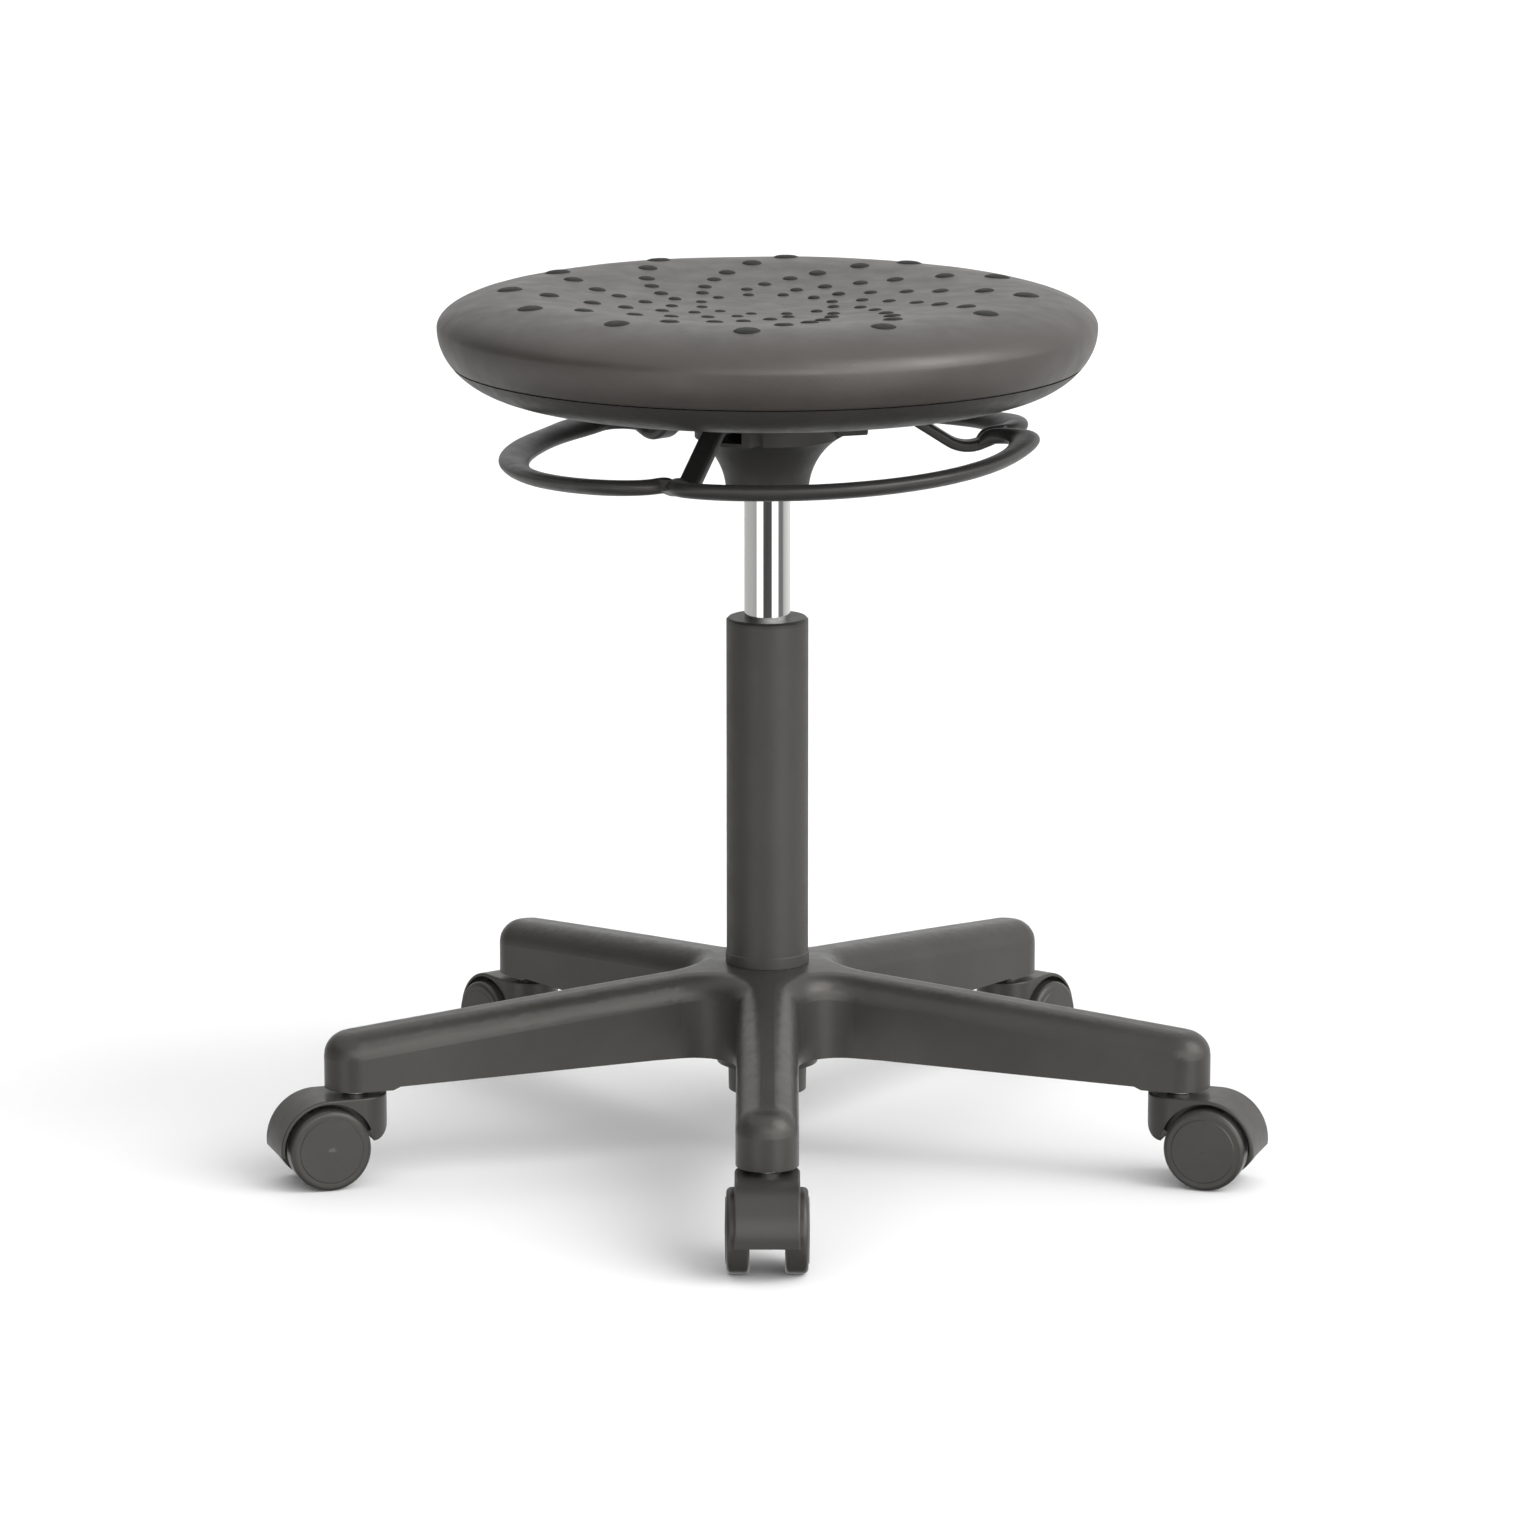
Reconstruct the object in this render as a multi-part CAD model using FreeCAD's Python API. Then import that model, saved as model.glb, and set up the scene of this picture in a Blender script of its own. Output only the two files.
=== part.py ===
import FreeCAD, Part
import math
import os

# Height-adjustable swivel stool on five casters, in millimetres and degrees.
# +Z is up. The origin is on the floor, under the column's axis. -Y is the front.

# Fits
RUN_FIT = 0.06            # radial clearance of a turning or sliding fit
SET_FIT = 0.03            # radial clearance of a fixed fit
FACE_GAP = 0.3            # gap between faces that must not rub

# Star base
LEG_COUNT = 5
FRONT_LEG_ANGLE = -90
STEM_CIRCLE_R = 262       # caster stem axis, from the column axis
LEG_HALF_WIDTH = 18.5     # also the radius of the leg's round tip
LEG_CROTCH_R = 26         # upright fillet between neighbouring legs
LEG_EDGE_R = 14.5         # rounding along the top of the legs
BASE_APEX_Z = 118.9       # height of the sloping top where it would meet the axis
LEG_TOP_DROP = 0.1        # fall of the top per millimetre of radius
LEG_TOP_BEND_R = 20000    # slight crown of the legs' top line
LEG_FOOT_Z = 58.5         # underside of the caster boss
LEG_TIP_RISE = 1.9        # underside of the leg above the boss, beside it
LEG_HUB_RISE = 5.5        # underside of the leg above the boss, near the column
HUB_FLAT_R = 80           # the underside is level inside this radius
FOOT_STEP = 4.5           # length of the step from leg to boss
BASE_WALL = 4
RIB_THICK = 3
RIB_RECESS = 2            # ribs stop this far inside the open underside
CROSS_RIB_COUNT = 4
SOCKET_WALL = 4
HUB_BOSS_WALL = 6
HUB_BOSS_FOOT_Z = 54

# Column tube
TUBE_R = 25
TUBE_WALL = 2
TUBE_FOOT_Z = 36.5        # the tube's end shows under the star
TAPER_LENGTH = 75.5       # tapered seat in the base
TAPER_IN = 1.2            # fall of the radius over the taper
TUBE_TOP_Z = 328.4
COLLAR_PROUD = 0.6        # swaged collar that stops the tube on the base
COLLAR_LENGTH = 7
BUSH_FLANGE = 3.1
BUSH_LENGTH = 88
BUSH_CHAMFER = 1.4
END_CAP_THICK = 4

# Thrust bearing and piston rod
ROD_R = 5
ROD_STEP = 1              # the rod's ends are thinner by this much
ROD_TAIL = 6              # rod end below the tube
RACE_R = 14
RACE_THICK = 2
RACE_HOLE_GAP = 2
BALL_R = 2
BALL_CIRCLE_R = 10
BALL_COUNT = 8
CAGE_THICK = 2
CAGE_EDGE = 3
BUFFER_R = 13
BUFFER_LENGTH = 15
WASHER_R = 9
WASHER_THICK = 1.4
CLIP_R = 7
CLIP_THICK = 1.2
CLIP_BITE = 0.6
PISTON_Z = 246
PISTON_LENGTH = 14
PISTON_SEAL_HEIGHT = 4
PISTON_SEAL_DEPTH = 1.6
PISTON_NUT_HEIGHT = 5
PISTON_NUT_R = 7.5

# Gas cylinder, at the height in the photograph
CYL_R = 14
CYL_WALL = 1.8
CYL_FOOT_Z = 146
CYL_TOP_Z = 448
CYL_TAPER_LENGTH = 41
CYL_TAPER_IN = 0.85
CYL_LIP = 0.8             # rolled lip at both ends
CYL_LIP_IN = 1.5
INNER_TUBE_R = 11
INNER_TUBE_WALL = 1
SPIGOT = 7                # plugs enter the inner tube by this much
GUIDE_LENGTH = 16
SEAL_R = 9
SEAL_HEIGHT = 3.5
VALVE_LENGTH = 19
BUTTON_R = 3
BUTTON_DEPTH = 16         # length of the button inside the valve
BUTTON_STROKE = 3.3
BUTTON_CHAMFER = 1

# Seat hub and its flange
HUB_NECK_R = 25
HUB_FLARE_R = 41          # radius of the trumpet's flare
HUB_FLARE_RISE = 36.4     # height of the flare, up to the snouts
HUB_BODY_R = 44
HUB_CAVITY_R = 40
HUB_FLOOR = 2.9           # floor under the lever's slots
HUB_CHAMFER = 1
SNOUT_REACH = 61
SNOUT_LIP = 0.6           # fall of a snout's underside
SLOT_WIDTH = 22
SLOT_WALL = 5
FLANGE_R = 76
FLANGE_THICK = 3.3
PAD_HEIGHT = 1.8          # pads that the lever's arms tilt on
PAD_LENGTH = 4
FULCRUM_R = 58

# Ring lever
ARM_COUNT = 3
ARM_ANGLE = 5             # direction of the arm on the right
ARM_WIDTH = 14
ARM_THICK = 6.5
ARM_EDGE_R = 2.5
ARM_KNEE_R = 74           # where the arm turns down
ARM_LOW_R = 118           # where the arm turns out again
ARM_LOW_DROP = 10         # how far the ring stands above that turn
ARM_KNEE_BEND = 14
ARM_LOW_BEND = 22
SPIDER_R = 20
RING_Z = 440              # ring where it meets the arms, with the lever level
RING_R = 154.5
RING_HALF_WIDTH = 9.5
RING_HALF_HEIGHT = 4.7
RING_TILT = 15            # outer edge of the ring turned up
LOBE_DIP = 4.9            # each lobe falls by this much to its middle
JOIN_R = 146
CORNER_R = 20
LOBE_END_R = 126          # where a lobe's inner end sinks into the arm
LOBE_END_OFFSET = 3.4
LOBE_END_HALF_WIDTH = 3.4
LOBE_END_HALF_HEIGHT = 2.6
LOBE_NECK_HALF_WIDTH = 6
LOBE_SPLAY = 7            # angle between a lobe's end and the arm
LEVER_HANG = 2.2          # the loose lever rests turned by this much about its pad

# Seat
SEAT_R = 199
SEAT_WIDEST_Z = 510
SEAT_UNDER_DROP = 40.7    # flat underside below the widest line
UNDER_R = 147             # radius of the flat underside
CREST_R = 147
CREST_RISE = 20.3         # crest above the widest line
CREST_BEND_R = 206
DISH_DEPTH = 8.3
SEAM_DROP = 22            # seam below the widest line
SEAM_GAP = 0.4
SHELL_WALL = 3
BOARD_INSET = 4
BOARD_THICK = 12

# Fasteners
SCREW_R = 3
SCREW_HEAD_R = 5.2
SCREW_HEAD = 4
SCREW_LENGTH = 16
SCREW_CIRCLE_R = 66
SCREW_SPREAD = 22         # a pair of screws stands this far either side of a lobe's middle
SCREW_HOLE_GAP = 0.3
TEE_WALL = 1
TEE_FLANGE_R = 9.5
TEE_FLANGE = 1.5
TEE_LENGTH = 10
SHELL_SCREW_R = 2
SHELL_SCREW_HEAD_R = 4
SHELL_SCREW_HEAD = 2.4
SHELL_SCREW_LENGTH = 11
SHELL_SCREW_CIRCLE_R = 120
SHELL_SCREW_COUNT = 6

# Casters
TRAIL = 21                # axle behind the stem axis
WHEEL_R = 25
WHEEL_INNER = 10.3        # wheel faces, from the caster's middle plane
WHEEL_WIDTH = 14
WHEEL_DOME = 0.4
WHEEL_ROUND = 2.5
WHEEL_FACE_R = 19.7
WHEEL_BEVEL = 3.6         # width of the bevelled rim, along the axle
WHEEL_FACE_STEP = 0.5
WHEEL_RIM = 3.5
WHEEL_HUB_R = 8
WHEEL_POCKET = 9
AXLE_R = 3
AXLE_COVER = 2.3          # closed outer wall of the wheel
HOOD_R = 30
HOOD_WALL = 2
HOOD_HALF_WIDTH = 19
HOOD_FRONT_DROP = 3.2     # front edge of the hood below the axle
HOOD_BACK_LENGTH = 15     # upright wall behind the stem
HOOD_BACK_DROP = 12
HOOD_EDGE_R = 1.2
WEB_HALF_WIDTH = 9
WEB_BOSS_R = 9
STEM_R = 5.5
STEM_LENGTH = 22
STEM_PIN_R = 4
STEM_PIN_LENGTH = 21
STEM_COLLAR_R = 8
GRIP_PROUD = 0.3
GRIP_WALL = 0.8
GRIP_HEIGHT = 6
GRIP_START = 8
GRIP_SLOT = 2

# Sizes and heights that follow from those above
LEG_STEP = 360 / LEG_COUNT
ARM_STEP = 360 / ARM_COUNT
HUB_UNDER_Z = LEG_FOOT_Z + LEG_HUB_RISE
BUSH_TOP_Z = TUBE_TOP_Z + BUSH_FLANGE
TAPER_TOP_Z = TUBE_FOOT_Z + TAPER_LENGTH
COLLAR_Z = BASE_APEX_Z - LEG_TOP_DROP * TUBE_R + FACE_GAP
HUB_BOSS_R = TUBE_R + HUB_BOSS_WALL
ROD_END_R = ROD_R - ROD_STEP
LOWER_RACE_Z = TUBE_FOOT_Z + END_CAP_THICK
BALL_Z = LOWER_RACE_Z + RACE_THICK + BALL_R
UPPER_RACE_Z = BALL_Z + BALL_R
ROD_SHOULDER_Z = UPPER_RACE_Z + RACE_THICK
WASHER_Z = TUBE_FOOT_Z - FACE_GAP - WASHER_THICK
CLIP_Z = WASHER_Z - CLIP_THICK
PISTON_TOP_Z = PISTON_Z + PISTON_LENGTH
CYL_IN_R = CYL_R - CYL_WALL
INNER_BORE_R = INNER_TUBE_R - INNER_TUBE_WALL
PISTON_R = INNER_BORE_R - RUN_FIT
GUIDE_Z = CYL_FOOT_Z + CYL_LIP
GUIDE_TOP_Z = GUIDE_Z + GUIDE_LENGTH
VALVE_TOP_Z = CYL_TOP_Z - CYL_LIP
VALVE_Z = VALVE_TOP_Z - VALVE_LENGTH
HUB_FOOT_Z = CYL_TOP_Z - CYL_TAPER_LENGTH
FLARE_Z = HUB_FOOT_Z + HUB_CHAMFER
FLARE_CENTRE_R = HUB_NECK_R + HUB_FLARE_R
SNOUT_Z = FLARE_Z + HUB_FLARE_RISE
SNOUT_START_R = FLARE_CENTRE_R - math.sqrt(HUB_FLARE_R ** 2 - HUB_FLARE_RISE ** 2)
SLOT_Z = SNOUT_Z + HUB_FLOOR
SHELL_Z = SEAT_WIDEST_Z - SEAT_UNDER_DROP
FLANGE_Z = SHELL_Z - FLANGE_THICK
PAD_Z = FLANGE_Z - PAD_HEIGHT
ARM_TOP_Z = PAD_Z - FACE_GAP
ARM_Z = ARM_TOP_Z - ARM_THICK / 2
ARM_LOW_Z = RING_Z - ARM_LOW_DROP
SPIDER_FALL = FULCRUM_R * math.sin(math.radians(LEVER_HANG))
BUTTON_TOP_Z = ARM_Z - ARM_THICK / 2 - SPIDER_FALL - FACE_GAP
BUTTON_FOOT_Z = VALVE_TOP_Z - BUTTON_DEPTH
SEAM_Z = SEAT_WIDEST_Z - SEAM_DROP
CREST_Z = SEAT_WIDEST_Z + CREST_RISE
BOARD_R = UNDER_R - BOARD_INSET
BOARD_Z = SHELL_Z + SHELL_WALL
BOARD_TOP_Z = BOARD_Z + BOARD_THICK
TEE_BARREL_R = SCREW_R + TEE_WALL
TEE_FLANGE_Z = BOARD_TOP_Z - TEE_FLANGE
WHEEL_Z = WHEEL_R
WHEEL_OUTER = WHEEL_INNER + WHEEL_WIDTH
AXLE_HALF_LENGTH = WHEEL_OUTER - AXLE_COVER - FACE_GAP
HOOD_TOP_Z = WHEEL_Z + HOOD_R
HOOD_BACK_Z = HOOD_TOP_Z - HOOD_BACK_LENGTH
STEM_COLLAR_Z = HOOD_TOP_Z + FACE_GAP
STEM_TOP_Z = LEG_FOOT_Z + STEM_LENGTH
STEM_FOOT_Z = STEM_COLLAR_Z - STEM_PIN_LENGTH
GRIP_Z = LEG_FOOT_Z + GRIP_START
SOCKET_R = STEM_R + GRIP_PROUD + SET_FIT

LEG_ANGLES = [FRONT_LEG_ANGLE + i * LEG_STEP for i in range(LEG_COUNT)]
ARM_ANGLES = [ARM_ANGLE + i * ARM_STEP for i in range(ARM_COUNT)]


def vec(x, y, z):
    return FreeCAD.Vector(x, y, z)


ORIGIN = vec(0, 0, 0)
AXIS_X = vec(1, 0, 0)
AXIS_Z = vec(0, 0, 1)


def polar(radius, angle, z=0):
    turn = math.radians(angle)
    return vec(radius * math.cos(turn), radius * math.sin(turn), z)


def turned(shape, angle, axis=AXIS_Z, about=ORIGIN):
    copy = shape.copy()
    copy.rotate(about, axis, angle)
    return copy


def moved(shape, offset):
    copy = shape.copy()
    copy.translate(offset)
    return copy


def around(shape, angles):
    return [turned(shape, angle) for angle in angles]


def merge(shapes):
    return shapes[0].multiFuse(shapes[1:])


def cylinder(radius, z0, z1, at=ORIGIN):
    return Part.makeCylinder(radius, z1 - z0, vec(at.x, at.y, z0), AXIS_Z)


def tube(outer_r, inner_r, z0, z1):
    return cylinder(outer_r, z0, z1).cut(cylinder(inner_r, z0, z1))


def block(x0, x1, half_width, z0, z1):
    return Part.makeBox(x1 - x0, 2 * half_width, z1 - z0, vec(x0, -half_width, z0))


class Outline:
    """A closed outline in the XZ plane, drawn from point to point."""

    def __init__(self, x, z):
        self.start = vec(x, 0, z)
        self.end = self.start
        self.edges = []

    def line(self, x, z):
        point = vec(x, 0, z)
        self.edges.append(Part.makeLine(self.end, point))
        self.end = point
        return self

    def arc(self, centre_x, centre_z, x, z):
        """Arc about a centre, the short way round."""
        centre = vec(centre_x, 0, centre_z)
        point = vec(x, 0, z)
        middle = (self.end - centre) + (point - centre)
        middle.normalize()
        middle = centre + middle * (self.end - centre).Length
        self.edges.append(Part.Arc(self.end, middle, point).toShape())
        self.end = point
        return self

    def crown(self, radius, x, z):
        """Arc of a given radius that bulges away from the axis as the outline runs up to it."""
        half = vec(x, 0, z).sub(self.end) * 0.5
        down = vec(half.z, 0, -half.x) * (-1 / half.Length)
        centre = self.end + half + down * math.sqrt(radius ** 2 - half.Length ** 2)
        return self.arc(centre.x, centre.z, x, z)

    def ellipse(self, centre_x, centre_z, half_x, half_z, x, z):
        """Stretch of an upright ellipse, the short way round."""
        centre = vec(centre_x, 0, centre_z)
        side = vec(centre_x + half_x, 0, centre_z)
        top = vec(centre_x, 0, centre_z + half_z)
        point = vec(x, 0, z)
        corners = (side, top) if half_x > half_z else (top, side)
        curve = Part.Ellipse(corners[0], corners[1], centre)
        first = curve.parameter(self.end)
        last = curve.parameter(point)
        if (last - first) % (2 * math.pi) > math.pi:
            first, last = last, first
        self.edges.append(Part.ArcOfEllipse(curve, first, last).toShape())
        self.end = point
        return self

    def face(self):
        if self.end.distanceToPoint(self.start) > 1e-6:
            self.line(self.start.x, self.start.z)
        return Part.Face(Part.Wire(self.edges))

    def revolved(self):
        return self.face().revolve(ORIGIN, AXIS_Z, 360)

    def extruded(self, half_width):
        return moved(self.face(), vec(0, -half_width, 0)).extrude(vec(0, 2 * half_width, 0))


def side_of(centre, half, other_half, drop):
    """Where an upright ellipse stands at a height of drop from its centre."""
    return centre + half * math.sqrt(1 - (drop / other_half) ** 2)


# Star base

def base_top_z(radius, inset):
    return BASE_APEX_Z - inset - LEG_TOP_DROP * radius


def star_face(half_width, crotch_r):
    """Plan of the star: round tips, straight sides and round crotches."""
    half_step = math.radians(LEG_STEP / 2)
    centre_r = (half_width + crotch_r) / math.sin(half_step)
    root_r = centre_r * math.cos(half_step)
    right = [vec(root_r, -half_width, 0), vec(STEM_CIRCLE_R, -half_width, 0)]
    tip = vec(STEM_CIRCLE_R + half_width, 0, 0)
    left = [vec(STEM_CIRCLE_R, half_width, 0), vec(root_r, half_width, 0)]
    crotch = polar(centre_r - crotch_r, LEG_STEP / 2)
    next_root = FreeCAD.Rotation(AXIS_Z, LEG_STEP).multVec(right[0])
    leg = Part.Wire([
        Part.makeLine(*right),
        Part.Arc(right[1], tip, left[0]).toShape(),
        Part.makeLine(*left),
        Part.Arc(left[1], crotch, next_root).toShape(),
    ])
    edges = [edge for wire in around(leg, LEG_ANGLES) for edge in wire.Edges]
    return Part.Face(Part.Wire(edges))


def star_body(inset, profile):
    """The star under its sloping top, set in by a wall, with the top's edge rounded."""
    plan = star_face(LEG_HALF_WIDTH - inset, LEG_CROTCH_R + inset).extrude(vec(0, 0, BASE_APEX_Z))
    body = plan.common(profile.revolved())
    middle_z = (LEG_FOOT_Z + base_top_z(STEM_CIRCLE_R + LEG_HALF_WIDTH, inset)) / 2
    rim = [
        edge for edge in body.Edges
        if edge.BoundBox.ZMin > middle_z and all(math.hypot(v.X, v.Y) > TUBE_R for v in edge.Vertexes)
    ]
    return body.makeFillet(LEG_EDGE_R - inset, rim).Solids[0]


def base_ribs():
    """Bosses and ribs inside the open underside."""
    boss = cylinder(HUB_BOSS_R, HUB_BOSS_FOOT_Z, BASE_APEX_Z)
    rib_z = HUB_UNDER_Z + RIB_RECESS
    long_rib = block(TUBE_R, STEM_CIRCLE_R, RIB_THICK / 2, rib_z, BASE_APEX_Z)
    socket = cylinder(SOCKET_R + SOCKET_WALL, LEG_FOOT_Z, BASE_APEX_Z, vec(STEM_CIRCLE_R, 0, 0))
    leg_ribs = [long_rib, socket]
    pitch = (STEM_CIRCLE_R - HUB_BOSS_R) / (CROSS_RIB_COUNT + 1)
    for i in range(CROSS_RIB_COUNT):
        x = HUB_BOSS_R + (i + 1) * pitch
        leg_ribs.append(block(x - RIB_THICK / 2, x + RIB_THICK / 2, LEG_HALF_WIDTH, rib_z, BASE_APEX_Z))
    return [boss] + [rib for part in leg_ribs for rib in around(part, LEG_ANGLES)]


def column_seat():
    top_r = TUBE_R + SET_FIT
    outline = Outline(0, TUBE_FOOT_Z).line(top_r - TAPER_IN, TUBE_FOOT_Z)
    return outline.line(top_r, TAPER_TOP_Z).line(top_r, BASE_APEX_Z).line(0, BASE_APEX_Z).revolved()


def make_base():
    edge_r = STEM_CIRCLE_R + 2 * LEG_HALF_WIDTH
    boss_r = STEM_CIRCLE_R - LEG_HALF_WIDTH
    outer = Outline(0, HUB_UNDER_Z).line(HUB_FLAT_R, HUB_UNDER_Z)
    outer.line(boss_r - FOOT_STEP, LEG_FOOT_Z + LEG_TIP_RISE).line(boss_r, LEG_FOOT_Z)
    outer.line(edge_r, LEG_FOOT_Z).line(edge_r, base_top_z(edge_r, 0)).crown(LEG_TOP_BEND_R, 0, BASE_APEX_Z)
    inner = Outline(0, 0).line(edge_r, 0).line(edge_r, base_top_z(edge_r, BASE_WALL))
    inner.crown(LEG_TOP_BEND_R, 0, base_top_z(0, BASE_WALL))
    hollow = star_body(BASE_WALL, inner).cut(merge(base_ribs()))
    base = star_body(0, outer).cut(hollow)
    base = base.fuse(cylinder(HUB_BOSS_R, HUB_BOSS_FOOT_Z, HUB_UNDER_Z + RIB_RECESS))
    socket_top_z = STEM_TOP_Z + FACE_GAP
    sockets = around(cylinder(SOCKET_R, 0, socket_top_z, vec(STEM_CIRCLE_R, 0, 0)), LEG_ANGLES)
    return base.cut(merge([column_seat()] + sockets))


# Column and gas spring

def make_column_tube():
    foot_r = TUBE_R - TAPER_IN
    collar_r = TUBE_R + COLLAR_PROUD
    collar_top_z = COLLAR_Z + COLLAR_LENGTH
    outline = Outline(foot_r, TUBE_FOOT_Z).line(TUBE_R, TAPER_TOP_Z).line(TUBE_R, COLLAR_Z)
    outline.line(collar_r, COLLAR_Z).line(collar_r, collar_top_z - COLLAR_PROUD)
    outline.line(TUBE_R, collar_top_z).line(TUBE_R, TUBE_TOP_Z).line(TUBE_R - TUBE_WALL, TUBE_TOP_Z)
    return outline.line(TUBE_R - TUBE_WALL, TAPER_TOP_Z).line(foot_r - TUBE_WALL, TUBE_FOOT_Z).revolved()


def make_guide_bush():
    bore_r = CYL_R + RUN_FIT
    sleeve_r = TUBE_R - TUBE_WALL - SET_FIT
    foot_z = TUBE_TOP_Z - BUSH_LENGTH
    outline = Outline(bore_r, foot_z).line(sleeve_r, foot_z).line(sleeve_r, TUBE_TOP_Z)
    outline.line(TUBE_R, TUBE_TOP_Z).line(TUBE_R, BUSH_TOP_Z - BUSH_CHAMFER)
    return outline.line(TUBE_R - BUSH_CHAMFER, BUSH_TOP_Z).line(bore_r, BUSH_TOP_Z).revolved()


def make_tube_end_cap():
    cap_r = TUBE_R - TAPER_IN - TUBE_WALL - SET_FIT
    return tube(cap_r, ROD_END_R + FACE_GAP, TUBE_FOOT_Z, LOWER_RACE_Z)


def make_lower_race():
    return tube(RACE_R, ROD_END_R + RACE_HOLE_GAP, LOWER_RACE_Z, LOWER_RACE_Z + RACE_THICK)


def make_upper_race():
    return tube(RACE_R, ROD_END_R + SET_FIT, UPPER_RACE_Z, ROD_SHOULDER_Z)


def ball_angles():
    return [i * 360 / BALL_COUNT for i in range(BALL_COUNT)]


def make_bearing_balls():
    ball = Part.makeSphere(BALL_R - SET_FIT, vec(BALL_CIRCLE_R, 0, BALL_Z))
    return Part.Compound(around(ball, ball_angles()))


def make_bearing_cage():
    z0 = BALL_Z - CAGE_THICK / 2
    z1 = BALL_Z + CAGE_THICK / 2
    pocket = cylinder(BALL_R + SET_FIT, z0, z1, vec(BALL_CIRCLE_R, 0, 0))
    ring = tube(BALL_CIRCLE_R + CAGE_EDGE, BALL_CIRCLE_R - CAGE_EDGE, z0, z1)
    return ring.cut(merge(around(pocket, ball_angles())))


def make_piston_rod():
    foot_z = TUBE_FOOT_Z - ROD_TAIL
    top_z = PISTON_TOP_Z + PISTON_NUT_HEIGHT + ROD_STEP
    groove_r = ROD_END_R - CLIP_BITE
    outline = Outline(0, foot_z).line(ROD_END_R, foot_z).line(ROD_END_R, CLIP_Z)
    outline.line(groove_r, CLIP_Z).line(groove_r, WASHER_Z).line(ROD_END_R, WASHER_Z)
    outline.line(ROD_END_R, ROD_SHOULDER_Z).line(ROD_R, ROD_SHOULDER_Z).line(ROD_R, PISTON_Z)
    return outline.line(ROD_END_R, PISTON_Z).line(ROD_END_R, top_z).line(0, top_z).revolved()


def make_rod_washer():
    return tube(WASHER_R, ROD_END_R + SET_FIT, WASHER_Z, WASHER_Z + WASHER_THICK)


def make_rod_clip():
    inner_r = ROD_END_R - CLIP_BITE + SET_FIT
    return tube(CLIP_R, inner_r, CLIP_Z, WASHER_Z).cut(block(0, CLIP_R, inner_r, CLIP_Z, WASHER_Z))


def make_rubber_buffer():
    return tube(BUFFER_R, ROD_R + SET_FIT, ROD_SHOULDER_Z, ROD_SHOULDER_Z + BUFFER_LENGTH)


def piston_seal_heights():
    middle_z = PISTON_Z + PISTON_LENGTH / 2
    return middle_z - PISTON_SEAL_HEIGHT / 2, middle_z + PISTON_SEAL_HEIGHT / 2


def make_piston():
    z0, z1 = piston_seal_heights()
    body = tube(PISTON_R, ROD_END_R + SET_FIT, PISTON_Z, PISTON_TOP_Z)
    return body.cut(tube(PISTON_R, PISTON_R - PISTON_SEAL_DEPTH, z0, z1))


def make_piston_seal():
    z0, z1 = piston_seal_heights()
    return tube(PISTON_R, PISTON_R - PISTON_SEAL_DEPTH + SET_FIT, z0 + SET_FIT, z1 - SET_FIT)


def make_piston_nut():
    corners = [polar(PISTON_NUT_R, i * 60, PISTON_TOP_Z) for i in range(7)]
    nut = Part.Face(Part.makePolygon(corners)).extrude(vec(0, 0, PISTON_NUT_HEIGHT))
    return nut.cut(cylinder(ROD_END_R + SET_FIT, PISTON_TOP_Z, PISTON_TOP_Z + PISTON_NUT_HEIGHT))


def make_gas_cylinder():
    lip_r = CYL_IN_R - CYL_LIP_IN
    outline = Outline(lip_r, CYL_FOOT_Z).line(CYL_R, CYL_FOOT_Z).line(CYL_R, HUB_FOOT_Z)
    outline.line(CYL_R - CYL_TAPER_IN, CYL_TOP_Z).line(lip_r, CYL_TOP_Z).line(lip_r, VALVE_TOP_Z)
    return outline.line(CYL_IN_R, VALVE_TOP_Z).line(CYL_IN_R, GUIDE_Z).line(lip_r, GUIDE_Z).revolved()


def make_inner_tube():
    return tube(INNER_TUBE_R, INNER_BORE_R, GUIDE_TOP_Z, VALVE_Z)


def make_rod_guide():
    plug = cylinder(CYL_IN_R - SET_FIT, GUIDE_Z, GUIDE_TOP_Z)
    plug = plug.fuse(cylinder(INNER_BORE_R - SET_FIT, GUIDE_TOP_Z, GUIDE_TOP_Z + SPIGOT))
    bore = cylinder(ROD_R + RUN_FIT, GUIDE_Z, GUIDE_TOP_Z + SPIGOT)
    return plug.cut(merge([bore, cylinder(SEAL_R + SET_FIT, GUIDE_Z, GUIDE_Z + SEAL_HEIGHT)]))


def make_rod_seal():
    return tube(SEAL_R, ROD_R + RUN_FIT, GUIDE_Z, GUIDE_Z + SEAL_HEIGHT)


def make_valve_body():
    plug = cylinder(CYL_IN_R - SET_FIT, VALVE_Z, VALVE_TOP_Z)
    plug = plug.fuse(cylinder(INNER_BORE_R - SET_FIT, VALVE_Z - SPIGOT, VALVE_Z))
    return plug.cut(cylinder(BUTTON_R + RUN_FIT, BUTTON_FOOT_Z - BUTTON_STROKE - FACE_GAP, VALVE_TOP_Z))


def make_valve_button():
    outline = Outline(0, BUTTON_FOOT_Z).line(BUTTON_R, BUTTON_FOOT_Z)
    outline.line(BUTTON_R, BUTTON_TOP_Z - BUTTON_CHAMFER)
    return outline.line(BUTTON_R - BUTTON_CHAMFER, BUTTON_TOP_Z).line(0, BUTTON_TOP_Z).revolved()


# Seat hub

def screw_angles():
    middles = [angle + ARM_STEP / 2 for angle in ARM_ANGLES]
    return [middle + side * SCREW_SPREAD for middle in middles for side in (-1, 1)]


def screw_holes(radius, z0, z1):
    return around(cylinder(radius, z0, z1, vec(SCREW_CIRCLE_R, 0, 0)), screw_angles())


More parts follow.
